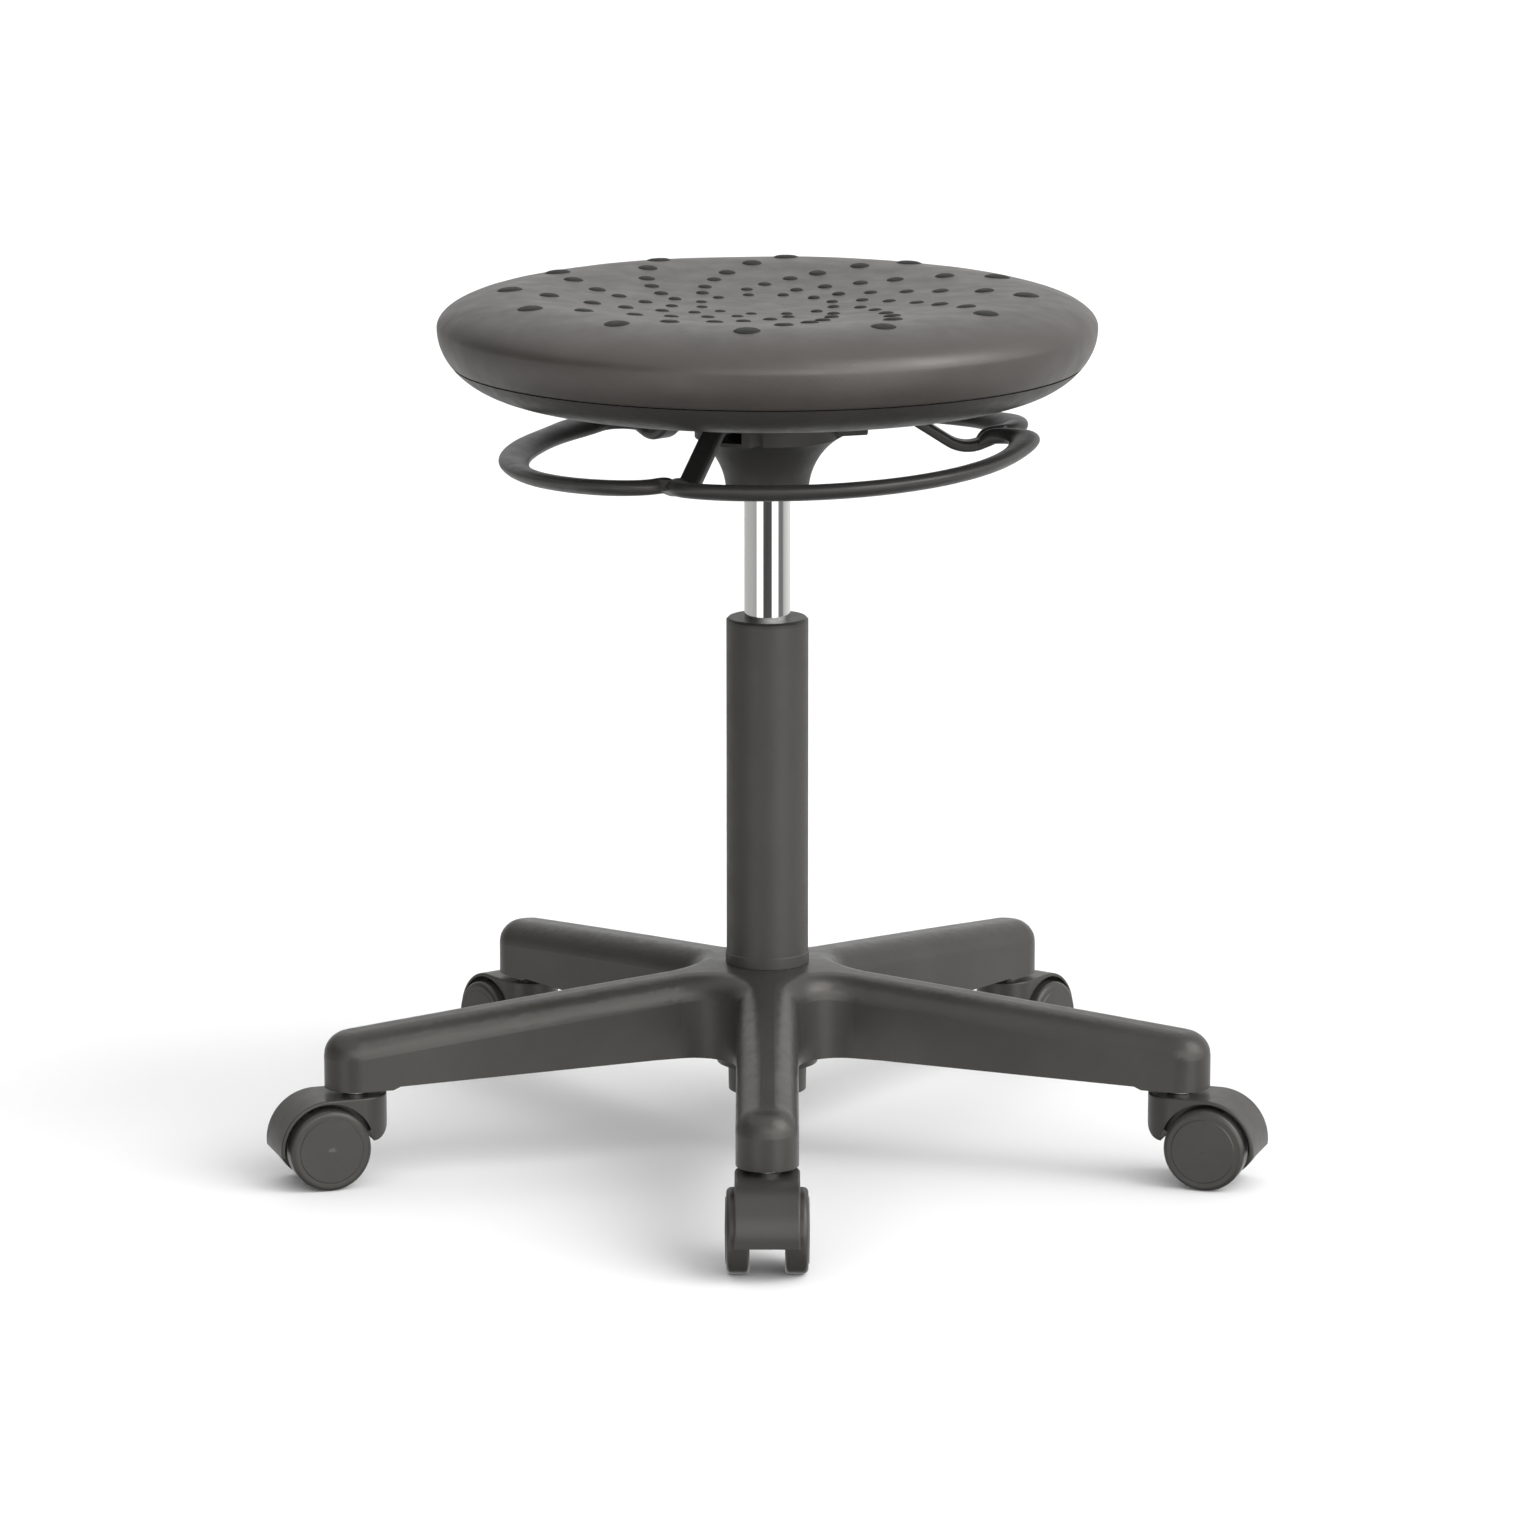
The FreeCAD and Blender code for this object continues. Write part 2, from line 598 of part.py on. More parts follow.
def make_seat_hub():
    """Trumpet with three snouts, hollow where the lever lies, under a round flange."""
    trumpet = Outline(0, HUB_FOOT_Z).line(HUB_NECK_R - HUB_CHAMFER, HUB_FOOT_Z).line(HUB_NECK_R, FLARE_Z)
    trumpet.arc(FLARE_CENTRE_R, FLARE_Z, SNOUT_START_R, SNOUT_Z)
    trumpet.line(SNOUT_REACH, SNOUT_Z + SNOUT_LIP).line(SNOUT_REACH, FLANGE_Z)
    trumpet.line(0, FLANGE_Z)
    core = cylinder(HUB_BODY_R, HUB_FOOT_Z, FLANGE_Z)
    snout = block(0, 2 * SNOUT_REACH, SLOT_WIDTH / 2 + SLOT_WALL, HUB_FOOT_Z, FLANGE_Z)
    body = trumpet.revolved().common(merge([core] + around(snout, ARM_ANGLES)))
    slot = block(0, 2 * SNOUT_REACH, SLOT_WIDTH / 2, SLOT_Z, FLANGE_Z)
    body = body.cut(merge([cylinder(HUB_CAVITY_R, SLOT_Z, FLANGE_Z)] + around(slot, ARM_ANGLES)))
    flange = tube(FLANGE_R, HUB_CAVITY_R, FLANGE_Z, SHELL_Z)
    pad = block(FULCRUM_R - PAD_LENGTH / 2, FULCRUM_R + PAD_LENGTH / 2, SLOT_WIDTH / 2, PAD_Z, FLANGE_Z)
    body = merge([body, flange] + around(pad, ARM_ANGLES))
    socket_r = CYL_R + SET_FIT
    socket = Outline(0, HUB_FOOT_Z).line(socket_r, HUB_FOOT_Z).line(socket_r - CYL_TAPER_IN, CYL_TOP_Z)
    socket = socket.line(0, CYL_TOP_Z).revolved()
    return body.cut(merge([socket] + screw_holes(SCREW_R + SCREW_HOLE_GAP, FLANGE_Z, SHELL_Z)))


# Ring lever

def rounded_path(points, bends):
    """Straight runs in the XZ plane joined by tangent arcs."""
    points = [vec(x, 0, z) for x, z in points]
    edges = []
    start = points[0]
    for before, corner, after, bend in zip(points, points[1:], points[2:], bends):
        into = (before - corner).normalize()
        out = (after - corner).normalize()
        half_angle = into.getAngle(out) / 2
        reach = bend / math.tan(half_angle)
        middle = corner + (into + out).normalize() * (bend / math.sin(half_angle) - bend)
        edges.append(Part.makeLine(start, corner + into * reach))
        edges.append(Part.Arc(corner + into * reach, middle, corner + out * reach).toShape())
        start = corner + out * reach
    edges.append(Part.makeLine(start, points[-1]))
    return Part.Wire(edges)


def arm_section(x):
    """Flat band with round edges, square to the arm's inner end."""
    half_y = ARM_WIDTH / 2
    half_z = ARM_THICK / 2
    plate = block(x, x + 1, half_y, ARM_Z - half_z, ARM_Z + half_z)
    edges = [edge for edge in plate.Edges if edge.BoundBox.XLength > 0.5]
    rounded = plate.makeFillet(ARM_EDGE_R, edges)
    ends = [face for face in rounded.Faces if face.BoundBox.XMax < x + 0.5]
    return ends[0].OuterWire


def make_arm():
    start_r = SPIDER_R / 2
    path = [(start_r, ARM_Z), (ARM_KNEE_R, ARM_Z), (ARM_LOW_R, ARM_LOW_Z), (JOIN_R, RING_Z)]
    wire = rounded_path(path, [ARM_KNEE_BEND, ARM_LOW_BEND])
    return wire.makePipeShell([arm_section(start_r)], True, False)


def arm_end_z(radius):
    """Height of the arm's outer run."""
    return ARM_LOW_Z + (radius - ARM_LOW_R) * ARM_LOW_DROP / (JOIN_R - ARM_LOW_R)


def lobe_z(x):
    """Height of a lobe at a distance along its middle direction."""
    join_x = JOIN_R * math.cos(math.radians(ARM_STEP / 2))
    return RING_Z - LOBE_DIP * (x - join_x) / (RING_R - join_x)


def lobe_section(place, heading, z, half_width, half_height, tilt):
    centre = vec(place.x, place.y, z)
    outward = vec(heading.y, -heading.x, 0)
    turn = math.radians(tilt)
    across = outward * math.cos(turn) + AXIS_Z * math.sin(turn)
    upright = AXIS_Z * math.cos(turn) - outward * math.sin(turn)
    curve = Part.Ellipse(centre + across * half_width, centre + upright * half_height, centre)
    return Part.Wire(curve.toShape())


def lobe_half():
    """Stations from a lobe's inner end to its middle: place, heading, height and section."""
    along = polar(1, -ARM_STEP / 2)
    sideways = polar(1, 90 - ARM_STEP / 2)
    splay = math.radians(LOBE_SPLAY)
    run = along * math.cos(splay) + sideways * math.sin(splay)
    inward = sideways * math.cos(splay) - along * math.sin(splay)
    end = along * LOBE_END_R + sideways * LOBE_END_OFFSET
    beside = end + inward * CORNER_R
    reach = beside.dot(run)
    length = -reach + math.sqrt(reach ** 2 - beside.dot(beside) + (RING_R - CORNER_R) ** 2)
    centre = beside + run * length
    neck = end + run * length
    neck_z = (arm_end_z(neck.dot(along)) + lobe_z(neck.x)) / 2
    stations = [
        (end, run, arm_end_z(LOBE_END_R), LOBE_END_HALF_WIDTH, LOBE_END_HALF_HEIGHT, 0),
        (neck, run, neck_z, LOBE_NECK_HALF_WIDTH, RING_HALF_HEIGHT, 0),
    ]
    corner_turn = inward.getAngle(centre * -1)
    corner_steps = 3
    for i in range(1, corner_steps + 1):
        share = i / corner_steps
        spin = FreeCAD.Rotation(AXIS_Z, math.degrees(corner_turn) * share)
        place = centre - spin.multVec(inward) * CORNER_R
        width = LOBE_NECK_HALF_WIDTH + (RING_HALF_WIDTH - LOBE_NECK_HALF_WIDTH) * share
        z = lobe_z(place.x) * share + neck_z * (1 - share)
        stations.append((place, spin.multVec(run), z, width, RING_HALF_HEIGHT, RING_TILT * share))
    ring_start = math.degrees(math.atan2(centre.y, centre.x))
    ring_steps = 4
    for i in range(1, ring_steps + 1):
        angle = ring_start * (1 - i / ring_steps)
        place = polar(RING_R, angle)
        heading = polar(1, angle + 90)
        stations.append((place, heading, lobe_z(place.x), RING_HALF_WIDTH, RING_HALF_HEIGHT, RING_TILT))
    return stations


def make_lobe():
    first = lobe_half()
    second = []
    for place, heading, z, half_width, half_height, tilt in reversed(first[:-1]):
        mirrored = vec(place.x, -place.y, 0)
        second.append((mirrored, vec(-heading.x, heading.y, 0), z, half_width, half_height, tilt))
    sections = [lobe_section(*station) for station in first + second]
    return Part.makeLoft(sections, True, False)


def make_ring_lever():
    """Three lobes on three arms, hung at the angle at which the loose lever rests."""
    spider = cylinder(SPIDER_R, ARM_Z - ARM_THICK / 2, ARM_TOP_Z)
    arms = around(make_arm(), ARM_ANGLES)
    lobes = around(make_lobe(), [angle + ARM_STEP / 2 for angle in ARM_ANGLES])
    lever = merge([spider] + arms + lobes)
    pivot = polar(FULCRUM_R, ARM_ANGLE, PAD_Z)
    return turned(lever, LEVER_HANG, polar(1, ARM_ANGLE - 90), pivot)


# Seat

def make_seat_shell():
    """Pan with a flat underside and sides that carry on the pad's round edge."""
    half_x = SEAT_R - UNDER_R
    half_z = SEAT_UNDER_DROP
    rim_r = side_of(UNDER_R, half_x, half_z, SEAM_DROP)
    inner_x = half_x - SHELL_WALL
    inner_z = half_z - SHELL_WALL
    inner_rim_r = side_of(UNDER_R, inner_x, inner_z, SEAM_DROP)
    outline = Outline(0, SHELL_Z).line(UNDER_R, SHELL_Z)
    outline.ellipse(UNDER_R, SEAT_WIDEST_Z, half_x, half_z, rim_r, SEAM_Z).line(inner_rim_r, SEAM_Z)
    outline.ellipse(UNDER_R, SEAT_WIDEST_Z, inner_x, inner_z, UNDER_R, BOARD_Z).line(0, BOARD_Z)
    holes = screw_holes(SCREW_R + SCREW_HOLE_GAP, SHELL_Z, BOARD_Z)
    return outline.revolved().cut(merge(holes + shell_screw_bores(SHELL_Z, BOARD_Z)))


def shell_screw_angles():
    return [ARM_ANGLE + (i + 0.5) * 360 / SHELL_SCREW_COUNT for i in range(SHELL_SCREW_COUNT)]


def shell_screw_bores(z0, z1):
    place = vec(SHELL_SCREW_CIRCLE_R, 0, 0)
    return around(cylinder(SHELL_SCREW_R + SET_FIT, z0, z1, place), shell_screw_angles())


def make_seat_board():
    board = cylinder(BOARD_R, BOARD_Z, BOARD_TOP_Z)
    holes = screw_holes(TEE_BARREL_R + SET_FIT, BOARD_Z, TEE_FLANGE_Z)
    holes += screw_holes(TEE_FLANGE_R + SET_FIT, TEE_FLANGE_Z, BOARD_TOP_Z)
    return board.cut(merge(holes + shell_screw_bores(BOARD_Z, SHELL_Z + SHELL_SCREW_LENGTH)))


def make_seat_pad():
    """Foam pad with a raised round crest, a dished middle and a belly that fills the shell."""
    half_x = SEAT_R - UNDER_R
    half_z = SEAT_UNDER_DROP
    belly_x = half_x - SHELL_WALL - FACE_GAP
    belly_z = half_z - SHELL_WALL - FACE_GAP
    lip_drop = SEAM_DROP - SEAM_GAP
    lip_z = SEAT_WIDEST_Z - lip_drop
    under_z = BOARD_TOP_Z + FACE_GAP
    wall_r = BOARD_R + FACE_GAP
    bend_sum = (CREST_R ** 2 + DISH_DEPTH ** 2) / (2 * DISH_DEPTH)
    dish_r = bend_sum - CREST_BEND_R
    dish_z = CREST_Z - DISH_DEPTH
    turn_r = CREST_R * dish_r / bend_sum
    turn_z = dish_z + dish_r - (dish_z + dish_r - CREST_Z + CREST_BEND_R) * dish_r / bend_sum
    outline = Outline(0, under_z).line(wall_r, under_z).line(wall_r, SEAT_WIDEST_Z - belly_z)
    outline.line(UNDER_R, SEAT_WIDEST_Z - belly_z)
    outline.ellipse(UNDER_R, SEAT_WIDEST_Z, belly_x, belly_z,
                    side_of(UNDER_R, belly_x, belly_z, lip_drop), lip_z)
    outline.line(side_of(UNDER_R, half_x, half_z, lip_drop), lip_z)
    outline.ellipse(UNDER_R, SEAT_WIDEST_Z, half_x, half_z, SEAT_R, SEAT_WIDEST_Z)
    outline.ellipse(CREST_R, SEAT_WIDEST_Z, SEAT_R - CREST_R, CREST_RISE, CREST_R, CREST_Z)
    outline.arc(CREST_R, CREST_Z - CREST_BEND_R, turn_r, turn_z)
    return outline.arc(0, dish_z + dish_r, 0, dish_z).revolved()


# Fasteners under the seat

def make_seat_screws():
    head = cylinder(SCREW_HEAD_R, FLANGE_Z - SCREW_HEAD, FLANGE_Z)
    screw = head.fuse(cylinder(SCREW_R, FLANGE_Z, FLANGE_Z + SCREW_LENGTH))
    return Part.Compound(around(moved(screw, vec(SCREW_CIRCLE_R, 0, 0)), screw_angles()))


def make_tee_nuts():
    foot_z = TEE_FLANGE_Z - TEE_LENGTH + TEE_FLANGE
    nut = cylinder(TEE_BARREL_R, foot_z, TEE_FLANGE_Z)
    nut = nut.fuse(cylinder(TEE_FLANGE_R, TEE_FLANGE_Z, BOARD_TOP_Z))
    nut = nut.cut(cylinder(SCREW_R + SET_FIT, foot_z, BOARD_TOP_Z))
    return Part.Compound(around(moved(nut, vec(SCREW_CIRCLE_R, 0, 0)), screw_angles()))


def make_shell_screws():
    head = cylinder(SHELL_SCREW_HEAD_R, SHELL_Z - SHELL_SCREW_HEAD, SHELL_Z)
    screw = head.fuse(cylinder(SHELL_SCREW_R, SHELL_Z, SHELL_Z + SHELL_SCREW_LENGTH))
    return Part.Compound(around(moved(screw, vec(SHELL_SCREW_CIRCLE_R, 0, 0)), shell_screw_angles()))


# Casters, drawn with the stem axis on Z and the axle on the +X side

def at_legs(shape):
    return around(moved(shape, vec(STEM_CIRCLE_R, 0, 0)), LEG_ANGLES)


def hood_outline():
    front_x = math.sqrt(HOOD_R ** 2 - HOOD_FRONT_DROP ** 2)
    arch_r = HOOD_R - HOOD_WALL
    arch_front_x = math.sqrt(arch_r ** 2 - HOOD_FRONT_DROP ** 2)
    front_z = WHEEL_Z - HOOD_FRONT_DROP
    back_z = HOOD_BACK_Z - HOOD_BACK_DROP
    back_x = TRAIL - math.sqrt(arch_r ** 2 - (back_z - WHEEL_Z) ** 2)
    back_run = back_x + HOOD_HALF_WIDTH
    back_bend = (back_run ** 2 + HOOD_BACK_DROP ** 2) / (2 * back_run)
    outline = Outline(TRAIL + front_x, front_z).arc(TRAIL, WHEEL_Z, TRAIL, HOOD_TOP_Z)
    outline.line(-HOOD_HALF_WIDTH, HOOD_TOP_Z).line(-HOOD_HALF_WIDTH, HOOD_BACK_Z)
    outline.arc(back_bend - HOOD_HALF_WIDTH, HOOD_BACK_Z, back_x, back_z)
    outline.arc(TRAIL, WHEEL_Z, TRAIL, WHEEL_Z + arch_r)
    return outline.arc(TRAIL, WHEEL_Z, TRAIL + arch_front_x, front_z)


def hood_web():
    """Web between the wheels, from the stem to the axle."""
    front_x = TRAIL + WEB_BOSS_R
    front_z = WHEEL_Z + math.sqrt((HOOD_R - HOOD_WALL / 2) ** 2 - WEB_BOSS_R ** 2)
    outline = Outline(-WEB_HALF_WIDTH, HOOD_TOP_Z - HOOD_WALL / 2)
    outline.line(-WEB_HALF_WIDTH, STEM_FOOT_Z - FACE_GAP).line(TRAIL, WHEEL_Z - WEB_BOSS_R)
    outline.arc(TRAIL, WHEEL_Z, front_x, WHEEL_Z).line(front_x, front_z)
    return outline.extruded(WEB_HALF_WIDTH)


def axle_shape(radius, half_length):
    pin = Part.makeCylinder(radius, 2 * half_length, vec(0, -half_length, 0), vec(0, 1, 0))
    return moved(pin, vec(TRAIL, 0, WHEEL_Z))


def hood_rim(canopy):
    """The canopy's outer edges, along both sides and round the back."""
    rim = []
    for edge in canopy.Edges:
        middle = edge.valueAt((edge.FirstParameter + edge.LastParameter) / 2)
        reach = math.hypot(middle.x - TRAIL, middle.z - WHEEL_Z)
        outside = math.isclose(middle.z, HOOD_TOP_Z) or math.isclose(reach, HOOD_R)
        if outside and edge.BoundBox.YLength < 1.5 * HOOD_HALF_WIDTH:
            rim.append(edge)
    return rim


def make_caster_hood():
    """Canopy over both wheels, round behind the stem, with a web that holds the axle."""
    front = block(0, 2 * (TRAIL + HOOD_R), HOOD_HALF_WIDTH, 0, HOOD_TOP_Z)
    plan = front.fuse(cylinder(HOOD_HALF_WIDTH, 0, HOOD_TOP_Z)).removeSplitter()
    canopy = hood_outline().extruded(HOOD_HALF_WIDTH).common(plan)
    hood = canopy.makeFillet(HOOD_EDGE_R, hood_rim(canopy)).fuse(hood_web())
    stem_bore = cylinder(STEM_PIN_R + RUN_FIT, STEM_FOOT_Z - FACE_GAP, HOOD_TOP_Z)
    return hood.cut(merge([stem_bore, axle_shape(AXLE_R + SET_FIT, HOOD_HALF_WIDTH)]))


def make_caster_axle():
    return axle_shape(AXLE_R, AXLE_HALF_LENGTH)


def make_wheel():
    """Wheel turned about Z, with its inner face down."""
    rim_r = WHEEL_R - WHEEL_RIM
    inner = WHEEL_INNER
    outer = WHEEL_OUTER
    bore_r = AXLE_R + RUN_FIT
    shoulder = outer - WHEEL_FACE_STEP
    outline = Outline(0, outer - AXLE_COVER).line(bore_r, outer - AXLE_COVER).line(bore_r, inner)
    outline.line(WHEEL_HUB_R, inner).line(WHEEL_HUB_R, inner + WHEEL_POCKET)
    outline.line(rim_r, inner + WHEEL_POCKET).line(rim_r, inner).line(WHEEL_R - WHEEL_ROUND, inner)
    outline.arc(WHEEL_R - WHEEL_ROUND, inner + WHEEL_ROUND, WHEEL_R, inner + WHEEL_ROUND)
    outline.line(WHEEL_R, outer - WHEEL_BEVEL)
    outline.arc(WHEEL_R - WHEEL_BEVEL + WHEEL_FACE_STEP, outer - WHEEL_BEVEL,
                WHEEL_R - WHEEL_BEVEL + WHEEL_FACE_STEP, shoulder)
    return outline.line(WHEEL_FACE_R, shoulder).line(WHEEL_FACE_R - WHEEL_FACE_STEP, outer).line(
        0, outer + WHEEL_DOME).revolved()


def make_caster_wheels():
    """Left and right wheel on the axle."""
    wheel = make_wheel()
    axle = vec(TRAIL, 0, WHEEL_Z)
    return moved(turned(wheel, -90, AXIS_X), axle), moved(turned(wheel, 90, AXIS_X), axle)


def make_caster_stems():
    groove_r = STEM_R + GRIP_PROUD - GRIP_WALL - SET_FIT
    outline = Outline(0, STEM_FOOT_Z).line(STEM_PIN_R, STEM_FOOT_Z).line(STEM_PIN_R, STEM_COLLAR_Z)
    outline.line(STEM_COLLAR_R, STEM_COLLAR_Z).line(STEM_COLLAR_R, LEG_FOOT_Z).line(STEM_R, LEG_FOOT_Z)
    outline.line(STEM_R, GRIP_Z - SET_FIT).line(groove_r, GRIP_Z - SET_FIT)
    outline.line(groove_r, GRIP_Z + GRIP_HEIGHT + SET_FIT).line(STEM_R, GRIP_Z + GRIP_HEIGHT + SET_FIT)
    outline.line(STEM_R, STEM_TOP_Z).line(0, STEM_TOP_Z)
    return Part.Compound(at_legs(outline.revolved()))


def make_grip_rings():
    outer_r = STEM_R + GRIP_PROUD
    ring = tube(outer_r, outer_r - GRIP_WALL, GRIP_Z, GRIP_Z + GRIP_HEIGHT)
    ring = ring.cut(block(0, outer_r, GRIP_SLOT / 2, GRIP_Z, GRIP_Z + GRIP_HEIGHT))
    return Part.Compound(at_legs(ring))


def make_casters():
    left, right = make_caster_wheels()
    pieces = {
        "hood": make_caster_hood(),
        "axle": make_caster_axle(),
        "wheel_left": left,
        "wheel_right": right,
    }
    nodes = {}
    for name, piece in pieces.items():
        for i, placed in enumerate(at_legs(piece)):
            nodes[f"caster_{i + 1}_{name}"] = placed
    return nodes


def make_nodes():
    nodes = {
        "base": make_base(),
        "column_tube": make_column_tube(),
        "guide_bush": make_guide_bush(),
        "tube_end_cap": make_tube_end_cap(),
        "lower_race": make_lower_race(),
        "caster_stems": make_caster_stems(),
        "grip_rings": make_grip_rings(),
        "piston_rod": make_piston_rod(),
        "upper_race": make_upper_race(),
        "bearing_cage": make_bearing_cage(),
        "bearing_balls": make_bearing_balls(),
        "rubber_buffer": make_rubber_buffer(),
        "rod_washer": make_rod_washer(),
        "rod_clip": make_rod_clip(),
        "piston": make_piston(),
        "piston_seal": make_piston_seal(),
        "piston_nut": make_piston_nut(),
        "gas_cylinder": make_gas_cylinder(),
        "inner_tube": make_inner_tube(),
        "rod_guide": make_rod_guide(),
        "rod_seal": make_rod_seal(),
        "valve_body": make_valve_body(),
        "valve_button": make_valve_button(),
        "seat_hub": make_seat_hub(),
        "ring_lever": make_ring_lever(),
        "seat_shell": make_seat_shell(),
        "seat_board": make_seat_board(),
        "seat_pad": make_seat_pad(),
        "seat_screws": make_seat_screws(),
        "tee_nuts": make_tee_nuts(),
        "shell_screws": make_shell_screws(),
    }
    nodes.update(make_casters())
    return nodes


def main():
    os.makedirs("parts", exist_ok=True)
    for name, shape in make_nodes().items():
        shape.exportStep(f"parts/{name}.step")
        box = shape.BoundBox
        print(name, len(shape.Solids), "valid" if shape.isValid() else "INVALID", round(shape.Volume),
              [round(value, 1) for value in (box.XMin, box.XMax, box.YMin, box.YMax, box.ZMin, box.ZMax)])


main()
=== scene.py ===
import math

import bpy
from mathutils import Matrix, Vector, noise


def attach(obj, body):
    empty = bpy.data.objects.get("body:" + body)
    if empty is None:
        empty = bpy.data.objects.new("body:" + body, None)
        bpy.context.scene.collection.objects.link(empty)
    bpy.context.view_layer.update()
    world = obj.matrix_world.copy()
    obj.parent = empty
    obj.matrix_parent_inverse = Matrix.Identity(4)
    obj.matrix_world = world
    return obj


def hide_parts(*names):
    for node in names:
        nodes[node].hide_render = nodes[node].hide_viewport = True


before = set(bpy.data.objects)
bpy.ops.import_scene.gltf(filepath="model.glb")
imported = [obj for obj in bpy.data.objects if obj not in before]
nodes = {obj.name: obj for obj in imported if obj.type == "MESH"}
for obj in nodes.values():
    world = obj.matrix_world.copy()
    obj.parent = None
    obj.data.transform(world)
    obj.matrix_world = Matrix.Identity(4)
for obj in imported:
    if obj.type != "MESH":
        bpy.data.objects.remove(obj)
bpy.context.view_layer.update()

MM = 0.001


# Shader building

class Shader:
    """A principled material with helpers for procedural detail in object space."""

    def __init__(self, name):
        self.material = bpy.data.materials.new(name)
        self.material.use_nodes = True
        self.tree = self.material.node_tree
        self.surface = self.tree.nodes["Principled BSDF"]
        self.place = self.add("ShaderNodeTexCoord").outputs["Object"]

    def add(self, kind, **settings):
        node = self.tree.nodes.new(kind)
        for key, value in settings.items():
            setattr(node, key, value)
        return node

    def link(self, source, target):
        self.tree.links.new(source, target)

    def set(self, **values):
        for key, value in values.items():
            self.surface.inputs[key.replace("_", " ")].default_value = value

    def noise(self, scale, detail=3.0, roughness=0.55, stretch=None):
        node = self.add("ShaderNodeTexNoise")
        node.inputs["Scale"].default_value = scale
        node.inputs["Detail"].default_value = detail
        node.inputs["Roughness"].default_value = roughness
        place = self.place
        if stretch:
            mapping = self.add("ShaderNodeMapping")
            mapping.inputs["Scale"].default_value = stretch
            self.link(place, mapping.inputs["Vector"])
            place = mapping.outputs["Vector"]
        self.link(place, node.inputs["Vector"])
        return node.outputs["Fac"]

    def cells(self, scale, feature="F1"):
        node = self.add("ShaderNodeTexVoronoi", feature=feature)
        node.inputs["Scale"].default_value = scale
        self.link(self.place, node.inputs["Vector"])
        return node.outputs["Distance"]

    def remap(self, value, low, high, start=0.3, end=0.7):
        node = self.add("ShaderNodeMapRange")
        node.inputs["From Min"].default_value = start
        node.inputs["From Max"].default_value = end
        node.inputs["To Min"].default_value = low
        node.inputs["To Max"].default_value = high
        self.link(value, node.inputs["Value"])
        return node.outputs["Result"]

    def blend(self, a, b, share):
        node = self.add("ShaderNodeMix")
        node.inputs["Factor"].default_value = share
        self.link(a, node.inputs["A"])
        self.link(b, node.inputs["B"])
        return node.outputs["Result"]

    def colour(self, value, dark, light, start=0.3, end=0.7):
        ramp = self.add("ShaderNodeValToRGB")
        ramp.color_ramp.elements[0].position = start
        ramp.color_ramp.elements[0].color = (*dark, 1)
        ramp.color_ramp.elements[1].position = end
        ramp.color_ramp.elements[1].color = (*light, 1)
        self.link(value, ramp.inputs["Fac"])
        self.link(ramp.outputs["Color"], self.surface.inputs["Base Color"])

    def rough(self, value, low, high):
        self.link(self.remap(value, low, high), self.surface.inputs["Roughness"])

    def bump(self, height, depth_mm):
        node = self.add("ShaderNodeBump")
        node.inputs["Strength"].default_value = 1.0
        node.inputs["Distance"].default_value = depth_mm * MM
        self.link(height, node.inputs["Height"])
        self.link(node.outputs["Normal"], self.surface.inputs["Normal"])


# Materials

GREY = (0.0345, 0.0335, 0.0308)
SEAT_GREY = (0.037, 0.0334, 0.0302)
DARK_GREY = (0.021, 0.0207, 0.0202)
# Tint of the gloss on plastic, coat and foam
WARM = (1.0, 0.955, 0.91, 1.0)


def tone(colour, factor):
    return tuple(channel * factor for channel in colour)


def moulded_plastic(name, colour, low_rough, high_rough, grain=1400, depth_mm=0.02, cloud=22):
    """Fine spark-eroded grain over a faint cloudy tone."""
    shader = Shader(name)
    clouds = shader.noise(cloud, detail=4.0)
    shader.colour(clouds, tone(colour, 0.9), tone(colour, 1.1))
    shader.rough(shader.noise(cloud * 5, detail=4.0), low_rough, high_rough)
    pits = shader.noise(grain, detail=2.0)
    shader.bump(shader.blend(pits, shader.cells(grain * 0.8), 0.4), depth_mm)
    shader.set(Specular_IOR_Level=0.45, Specular_Tint=WARM)
    return shader.material


def powder_coat(name, colour):
    """Satin coat with a slight orange peel."""
    shader = Shader(name)
    shader.colour(shader.noise(16), tone(colour, 0.93), tone(colour, 1.07))
    shader.rough(shader.noise(70), 0.4, 0.5)
    shader.bump(shader.noise(520, detail=2.0), depth_mm=0.03)
    shader.set(Specular_IOR_Level=0.5, Specular_Tint=WARM)
    return shader.material


def metal(name, colour, low_rough, high_rough, stretch, scale=300, depth_mm=0.004):
    """Drawn or turned metal, with fine lines along the stretch."""
    shader = Shader(name)
    lines = shader.noise(scale, stretch=stretch)
    shader.colour(lines, tone(colour, 0.93), colour)
    shader.rough(lines, low_rough, high_rough)
    shader.bump(lines, depth_mm)
    shader.set(Metallic=1.0)
    return shader.material


def skinned_foam(name, colour):
    """Soft foam skin with a leather-like grain and a mild gloss."""
    shader = Shader(name)
    wear = shader.noise(14, detail=5.0, roughness=0.6)
    shader.colour(wear, tone(colour, 0.86), tone(colour, 1.14))
    shader.rough(shader.noise(55, detail=4.0), 0.35, 0.46)
    creases = shader.remap(shader.cells(420, "DISTANCE_TO_EDGE"), 0, 1, start=0.0, end=0.25)
    shader.bump(shader.blend(creases, shader.noise(900), 0.5), depth_mm=0.05)
    shader.set(Specular_IOR_Level=0.8, Specular_Tint=WARM)
    return shader.material


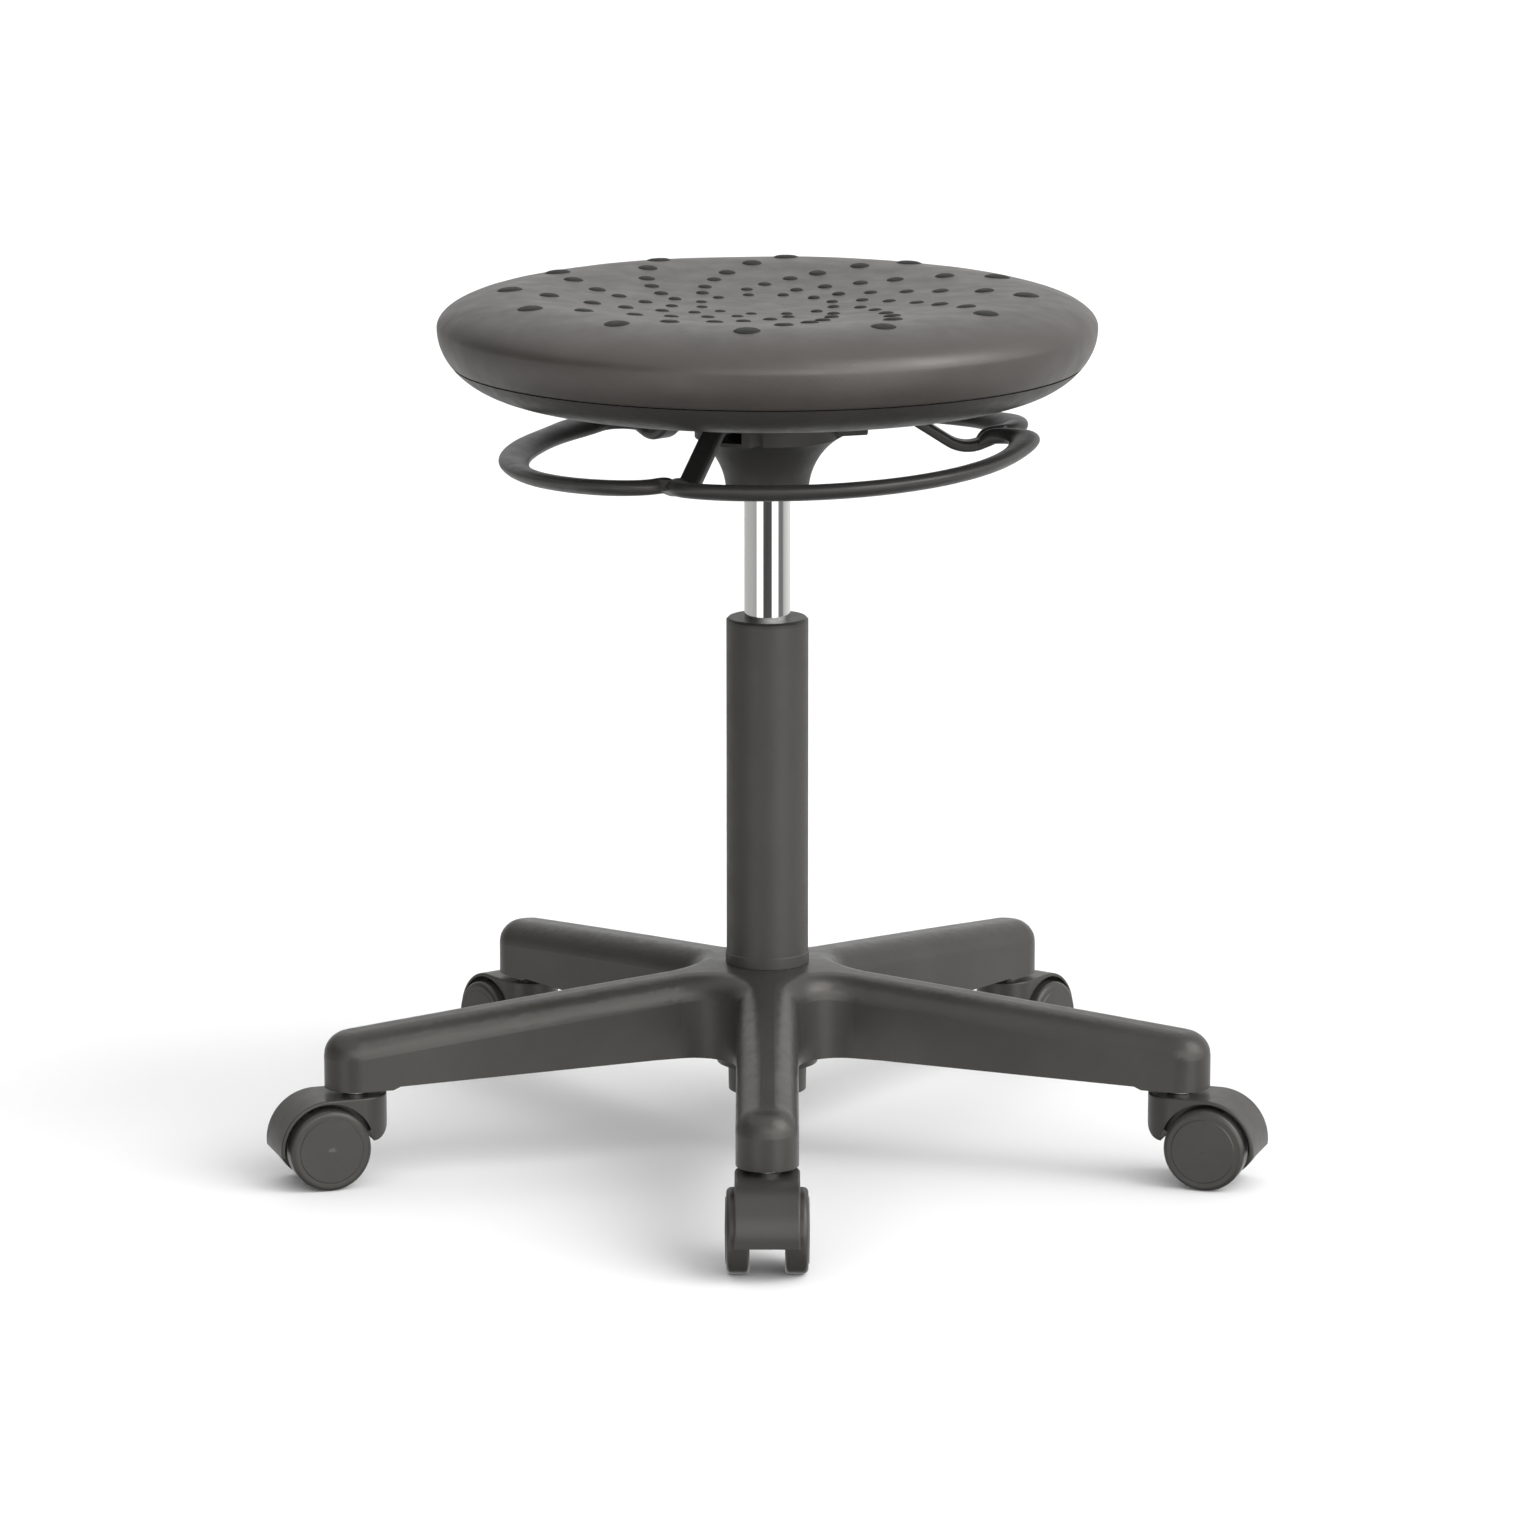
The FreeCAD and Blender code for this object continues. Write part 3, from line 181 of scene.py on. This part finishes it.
def rubber(name, colour):
    """Dull rubber."""
    shader = Shader(name)
    shader.colour(shader.noise(60), tone(colour, 0.85), tone(colour, 1.15))
    shader.rough(shader.noise(240), 0.55, 0.7)
    shader.bump(shader.noise(1500, detail=2.0), depth_mm=0.02)
    shader.set(Specular_IOR_Level=0.3)
    return shader.material


def plywood(name, dark, light):
    """Bare wood with its grain along one side."""
    shader = Shader(name)
    grain = shader.noise(26, detail=6.0, roughness=0.65, stretch=(1, 9, 30))
    shader.colour(grain, dark, light)
    shader.rough(grain, 0.55, 0.75)
    shader.bump(grain, depth_mm=0.08)
    return shader.material


mat_base = moulded_plastic("star_nylon", GREY, 0.29, 0.37)
mat_column = powder_coat("column_coat", tone(GREY, 0.96))
mat_bush = moulded_plastic("bush_plastic", tone(GREY, 0.75), 0.36, 0.46)
mat_hub = moulded_plastic("hub_plastic", DARK_GREY, 0.4, 0.52)
mat_shell = moulded_plastic("shell_plastic", tone(GREY, 0.8), 0.36, 0.48)
mat_lever = moulded_plastic("lever_plastic", tone(DARK_GREY, 1.35), 0.32, 0.42)
mat_hood = moulded_plastic("hood_plastic", tone(GREY, 0.95), 0.3, 0.38)
mat_wheel = moulded_plastic("wheel_plastic", tone(GREY, 0.95), 0.28, 0.36, grain=1800)
mat_pad = skinned_foam("foam_skin", SEAT_GREY)
mat_dot = rubber("dot_rubber", (0.012, 0.0116, 0.011))
mat_chrome = metal("chrome_cylinder", (0.86, 0.86, 0.85), 0.05, 0.1, (1, 1, 0.02), 420, depth_mm=0.001)
mat_steel = metal("plated_steel", (0.6, 0.6, 0.58), 0.28, 0.4, (1, 1, 8))
mat_black_steel = metal("blackened_steel", (0.07, 0.07, 0.07), 0.4, 0.5, (1, 1, 8))
mat_brass = metal("turned_brass", (0.72, 0.55, 0.26), 0.22, 0.32, (1, 1, 12))
mat_rubber = rubber("black_rubber", (0.014, 0.014, 0.014))
mat_acetal = moulded_plastic("natural_acetal", (0.66, 0.64, 0.58), 0.35, 0.45, depth_mm=0.008)
mat_ply = plywood("bare_plywood", (0.33, 0.2, 0.1), (0.55, 0.38, 0.22))

# Any node that isn't named here, and isn't part of a caster, is plated steel
SURFACES = {
    "base": mat_base,
    "column_tube": mat_column,
    "guide_bush": mat_bush,
    "seat_hub": mat_hub,
    "seat_shell": mat_shell,
    "seat_pad": mat_pad,
    "seat_board": mat_ply,
    "ring_lever": mat_lever,
    "gas_cylinder": mat_chrome,
    "piston_rod": mat_chrome,
    "valve_body": mat_brass,
    "rubber_buffer": mat_rubber,
    "piston_seal": mat_rubber,
    "rod_seal": mat_rubber,
    "bearing_cage": mat_acetal,
    "piston": mat_acetal,
    "rod_guide": mat_acetal,
}


def surface_of(node):
    if node.endswith("_hood"):
        return mat_hood
    if "_wheel_" in node:
        return mat_wheel
    if node.endswith("_axle"):
        return mat_black_steel
    return SURFACES.get(node, mat_steel)


for name, obj in nodes.items():
    surface = surface_of(name)
    obj.data.materials.clear()
    obj.data.materials.append(surface)
    # Even shading over the many narrow faces of rounded edges
    if surface in (mat_base, mat_hood, mat_wheel):
        obj.modifiers.new("even_shade", "WEIGHTED_NORMAL").keep_sharp = True


# Mesh building

def add_piece(name, verts, faces, material, body, slot):
    mesh = bpy.data.meshes.new(name)
    mesh.from_pydata(verts, [], faces)
    mesh.update()
    mesh.shade_smooth()
    mesh.materials.append(material)
    obj = bpy.data.objects.new(name, mesh)
    bpy.context.scene.collection.objects.link(obj)
    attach(obj, body)
    return obj


def lathe(profile, segments, shape):
    """Closed solid turned from a profile that starts and ends on the axis. shape moves each point."""
    verts = []
    faces = []
    bottom, top = profile[0], profile[-1]
    rings = profile[1:-1]
    for r, z in rings:
        for i in range(segments):
            turn = 2 * math.pi * i / segments
            verts.append(Vector((r * math.cos(turn), r * math.sin(turn), z)))
    for j in range(len(rings) - 1):
        a = j * segments
        for i in range(segments):
            k = (i + 1) % segments
            faces.append((a + i, a + k, a + segments + k, a + segments + i))
    verts.append(Vector((0, 0, bottom[1])))
    verts.append(Vector((0, 0, top[1])))
    low, high = len(verts) - 2, len(verts) - 1
    last = (len(rings) - 1) * segments
    for i in range(segments):
        k = (i + 1) % segments
        faces.append((low, k, i))
        faces.append((last + i, last + k, high))
    return [shape(v) for v in verts], faces


# Seat cushion: the pad's own section, with the slight unevenness of a skinned foam

SEAT_R = 0.199
WIDEST_Z = 0.510          # height of the widest ring
UNDER_R = 0.147           # middle of the oval below the widest ring
UNDER_DROP = 0.0407       # its reach downwards
LIP_DROP = 0.0216         # the pad overhangs the shell down to this depth below the widest ring
LIP_ROUND = 0.0011
INSET = 0.0033            # the pad is smaller by this inside the shell
BOARD_R = 0.1433
BOARD_TOP = 0.4846
CREST_R = 0.147           # ring of the highest points
CREST_RISE = 0.0203
CREST_BEND = 0.206        # radius of the bend inside the crest
DISH = 0.0083             # depth of the hollow inside the crest
SEAT_SEGMENTS = 288

CREST_Z = WIDEST_Z + CREST_RISE
LIP_Z = WIDEST_Z - LIP_DROP
BEND_SUM = (CREST_R ** 2 + DISH ** 2) / (2 * DISH)   # radii of both bends, which meet without a kink
DISH_BEND = BEND_SUM - CREST_BEND
TURN_R = CREST_R * DISH_BEND / BEND_SUM   # where the two bends meet

# Steps along each stretch of the section
BOARD_STEPS, WALL_STEPS, INSET_STEPS, LIP_STEPS, ROUND_STEPS = 12, 4, 12, 3, 5
SIDE_STEPS, CREST_STEPS, TOP_STEPS = 40, 61, 70

# noise scale, and height in millimetres, of the skin's swells
SWELLS = ((17, 0.35), (46, 0.16))
EVEN_RIM = 0.002          # height above the lip that stays even
EVEN_FADE = 0.012


def top_z(r):
    """Height of the pad's top between its middle and its crest."""
    if r < TURN_R:
        return CREST_Z - DISH + DISH_BEND - math.sqrt(DISH_BEND ** 2 - r ** 2)
    return CREST_Z - CREST_BEND + math.sqrt(CREST_BEND ** 2 - (CREST_R - r) ** 2)


def skin_z(r):
    """Height of the cushion's top, past its crest too."""
    if r < CREST_R:
        return top_z(r)
    return WIDEST_Z + CREST_RISE * math.sqrt(1 - ((r - CREST_R) / (SEAT_R - CREST_R)) ** 2)


def cushion_profile():
    """Section from the board's middle out to the lip, and over the crest to the middle of the top."""
    half_x = SEAT_R - UNDER_R
    inset_x, inset_z = half_x - INSET, UNDER_DROP - INSET
    foot_z = WIDEST_Z - inset_z
    lip_r = UNDER_R + half_x * math.cos(math.asin(LIP_DROP / UNDER_DROP))
    points = [(BOARD_R * i / BOARD_STEPS, BOARD_TOP) for i in range(BOARD_STEPS + 1)]
    wall = BOARD_TOP - foot_z
    points += [(BOARD_R, foot_z + wall * i / WALL_STEPS) for i in reversed(range(WALL_STEPS))]
    inset_turn = math.asin(LIP_DROP / inset_z)
    for i in range(INSET_STEPS + 1):
        turn = math.pi / 2 + (inset_turn - math.pi / 2) * i / INSET_STEPS
        points.append((UNDER_R + inset_x * math.cos(turn), WIDEST_Z - inset_z * math.sin(turn)))
    inner_r = points[-1][0]
    ledge = lip_r - LIP_ROUND - inner_r
    points += [(inner_r + ledge * i / LIP_STEPS, LIP_Z) for i in range(1, LIP_STEPS + 1)]
    for i in range(1, ROUND_STEPS):
        turn = math.pi / 2 * i / ROUND_STEPS
        points.append((lip_r - LIP_ROUND * (1 - math.sin(turn)), LIP_Z + LIP_ROUND * (1 - math.cos(turn))))
    start = math.asin((LIP_DROP - LIP_ROUND) / UNDER_DROP)
    for i in range(SIDE_STEPS):
        turn = start * (1 - i / SIDE_STEPS)
        points.append((UNDER_R + half_x * math.cos(turn), WIDEST_Z - UNDER_DROP * math.sin(turn)))
    shoulder = SEAT_R - CREST_R
    for i in range(CREST_STEPS):
        turn = math.pi / 2 * i / CREST_STEPS
        points.append((CREST_R + shoulder * math.cos(turn), WIDEST_Z + CREST_RISE * math.sin(turn)))
    for i in range(TOP_STEPS + 1):
        r = CREST_R * (1 - i / TOP_STEPS)
        points.append((r, top_z(r)))
    return points


def uneven(v):
    """Moves a point of the cushion's skin in or out by a few tenths of a millimetre."""
    rise = v.z - LIP_Z - EVEN_RIM
    if rise <= 0:
        return v
    swell = sum(noise.noise(v * scale) * height for scale, height in SWELLS)
    fade = min(1, rise / EVEN_FADE)
    away = Vector((v.x, v.y, 0)).normalized()
    up = max(0.0, min(1.0, (SEAT_R - v.xy.length) / (SEAT_R - CREST_R)))
    direction = (away * (1 - up) + Vector((0, 0, 1)) * up).normalized()
    return v + direction * swell * fade * MM


cushion_mesh = lathe(cushion_profile(), SEAT_SEGMENTS, uneven)
cushion = add_piece("seat_cushion", *cushion_mesh, mat_pad, "seat", "pad_foam")
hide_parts("seat_pad")


# Grip dots on the seat: curved rows of low domes that grow outwards

DOT_ROWS = 12
# distance from the middle, turn in degrees and radius of the dots of each ring
DOT_RINGS = (
    (0.1559, 85.7, 0.0081), (0.1312, 94.2, 0.0062), (0.1076, 103.3, 0.0055), (0.0906, 111.1, 0.0049),
    (0.0734, 121.3, 0.0045), (0.0586, 132.3, 0.0041), (0.0408, 136.4, 0.0037),
)
DOT_AROUND, DOT_LEVELS = 32, 7
DOT_RISE, DOT_RISE_SHARE = 0.0007, 0.08   # a dot's height, and what its radius adds to it
DOT_FOOT, DOT_SINK = 1.08, 0.0006         # the foot is wider than the dot and lies below the skin


def dot_places():
    for row in range(DOT_ROWS):
        for r, turn, size in DOT_RINGS:
            yield r, math.radians(turn + row * 360 / DOT_ROWS), size


def dot_mesh():
    """All the dots as closed domes that follow the cushion's top."""
    verts = []
    faces = []
    for r, turn, size in dot_places():
        height = DOT_RISE + DOT_RISE_SHARE * size
        centre = Vector((r * math.cos(turn), r * math.sin(turn), 0))
        first = len(verts)
        for j in range(DOT_LEVELS):
            share = DOT_FOOT * (1 - j / DOT_LEVELS)
            rise = height * (1 - share ** 4) if share <= 1 else -DOT_SINK
            for i in range(DOT_AROUND):
                spin = 2 * math.pi * i / DOT_AROUND
                x = centre.x + size * share * math.cos(spin)
                y = centre.y + size * share * math.sin(spin)
                verts.append(Vector((x, y, skin_z(math.hypot(x, y)) + rise)))
        tip = len(verts)
        verts.append(Vector((centre.x, centre.y, skin_z(r) + height)))
        for j in range(DOT_LEVELS):
            a = first + j * DOT_AROUND
            b = a + DOT_AROUND
            for i in range(DOT_AROUND):
                k = (i + 1) % DOT_AROUND
                faces.append((a + i, a + k, tip) if b == tip else (a + i, a + k, b + k, b + i))
        faces.append(tuple(first + i for i in reversed(range(DOT_AROUND))))
    return verts, faces


add_piece("seat_dots", *dot_mesh(), mat_dot, "seat", "pad_foam")


# Floor, light and camera

FLOOR_HALF = 40
# the direction that the key light comes from, its strength and its spread in degrees
KEY_WAY, KEY_STRENGTH, KEY_SOFTNESS = (1, -0.4, 1.15), 1.25, 40

# Brightness of the studio, by the angle in degrees from the camera's side towards the right:
# the narrow stripes that the bright cylinder mirrors, and the walls above them
STRIPES = (
    (-180, 0.6), (-75, 0.45), (-57, 0.4), (-51, 1.5), (-24, 1.5), (-18, 0.07), (20, 0.07), (27, 1.6),
    (52, 1.6), (60, 0.2), (82, 0.2), (92, 0.55), (120, 0.75), (180, 0.9),
)
WALLS = (
    (-180, 0.88), (-130, 0.35), (-90, 0.08), (-50, 0.25), (-15, 1.5), (15, 2.6), (35, 3.1), (85, 2.4),
    (110, 0.75), (180, 0.88),
)
CEILING_LEFT, CEILING_RIGHT = 0.86, 1.0
GLOW_NEAR, GLOW_FAR, GLOW_STRIPES = 0.1, 0.6, 0.35   # light from below, and the stripes' share in it

# Heights at which one zone of the studio fades into the next, as the upward part of a direction
GLOW_FADE, STRIPES_FADE = (-0.85, -0.5), (-0.26, -0.2)
WALLS_FADE, CEILING_FADE = (-0.06, -0.02), (0.5, 0.72)

# The lens is given in pixels of the photograph's frame, the tilt in radians below level
FRAME_PX, FOCAL_PX, SENSOR_MM = 1536, 7035.9, 36
CAMERA_PLACE, CAMERA_TILT = (0.0004, -4.2, 1.1331), 0.2101


def add_floor():
    shader = Shader("studio_floor")
    shader.colour(shader.noise(3, detail=2.0), (0.91, 0.91, 0.91), (0.93, 0.93, 0.93))
    shader.set(Roughness=0.8, Specular_IOR_Level=0.2)
    corners = [(x * FLOOR_HALF, y * FLOOR_HALF, 0) for x, y in ((-1, -1), (1, -1), (1, 1), (-1, 1))]
    mesh = bpy.data.meshes.new("floor")
    mesh.from_pydata(corners, [], [(0, 1, 2, 3)])
    mesh.materials.append(shader.material)
    floor = bpy.data.objects.new("floor", mesh)
    bpy.context.scene.collection.objects.link(floor)
    floor.visible_glossy = False


def add_key():
    """Soft key light from the right."""
    light = bpy.data.lights.new("key", "SUN")
    light.energy = KEY_STRENGTH
    light.angle = math.radians(KEY_SOFTNESS)
    obj = bpy.data.objects.new("key", light)
    obj.rotation_euler = Vector(KEY_WAY).to_track_quat("Z", "Y").to_euler()
    bpy.context.scene.collection.objects.link(obj)


def add_world():
    """Studio with bright walls at the front right, a dark left side, and stripes just below the horizon."""
    world = bpy.data.worlds.new("studio")
    world.use_nodes = True
    tree = world.node_tree

    def add(kind, *sources, **settings):
        node = tree.nodes.new(kind)
        for key, value in settings.items():
            setattr(node, key, value)
        for number, source in enumerate(sources):
            if isinstance(source, (int, float)):
                node.inputs[number].default_value = source
            else:
                tree.links.new(source, node.inputs[number])
        return node

    def by_angle(stops):
        ramp = add("ShaderNodeValToRGB", share)
        elements = ramp.color_ramp.elements
        for number, (angle, light) in enumerate(stops):
            stop = elements[number] if number < 2 else elements.new((angle + 180) / 360)
            stop.position = (angle + 180) / 360
            stop.color = (light, light, light, 1)
        return ramp.outputs["Color"]

    def by_height(below, above, fade):
        node = add("ShaderNodeMapRange", way["Z"], *fade, below, above, interpolation_type="SMOOTHSTEP")
        return node.outputs[0]

    way = add("ShaderNodeSeparateXYZ", add("ShaderNodeTexCoord").outputs["Generated"]).outputs
    front = add("ShaderNodeMath", way["Y"], -1, operation="MULTIPLY").outputs[0]
    turn = add("ShaderNodeMath", way["X"], front, operation="ARCTAN2").outputs[0]
    share = add("ShaderNodeMapRange", turn, -math.pi, math.pi, 0, 1).outputs[0]
    ceiling = add("ShaderNodeMapRange", way["X"], -1, 1, CEILING_LEFT, CEILING_RIGHT).outputs[0]
    stripes = by_angle(STRIPES)
    glow = add("ShaderNodeMath", stripes, GLOW_STRIPES, GLOW_FAR, operation="MULTIPLY_ADD").outputs[0]
    light = by_height(GLOW_NEAR, glow, GLOW_FADE)
    light = by_height(light, stripes, STRIPES_FADE)
    light = by_height(light, by_angle(WALLS), WALLS_FADE)
    light = by_height(light, ceiling, CEILING_FADE)
    tree.links.new(light, tree.nodes["Background"].inputs["Color"])
    bpy.context.scene.world = world


def add_camera():
    camera = bpy.data.cameras.new("camera")
    camera.sensor_width = SENSOR_MM
    camera.lens = SENSOR_MM * FOCAL_PX / FRAME_PX
    camera.clip_end = 100
    obj = bpy.data.objects.new("camera", camera)
    obj.location = CAMERA_PLACE
    obj.rotation_euler = (math.pi / 2 - CAMERA_TILT, 0, 0)
    bpy.context.scene.collection.objects.link(obj)
    bpy.context.scene.camera = obj


add_floor()
add_world()
add_key()
add_camera()
bpy.context.scene.view_settings.view_transform = "Standard"
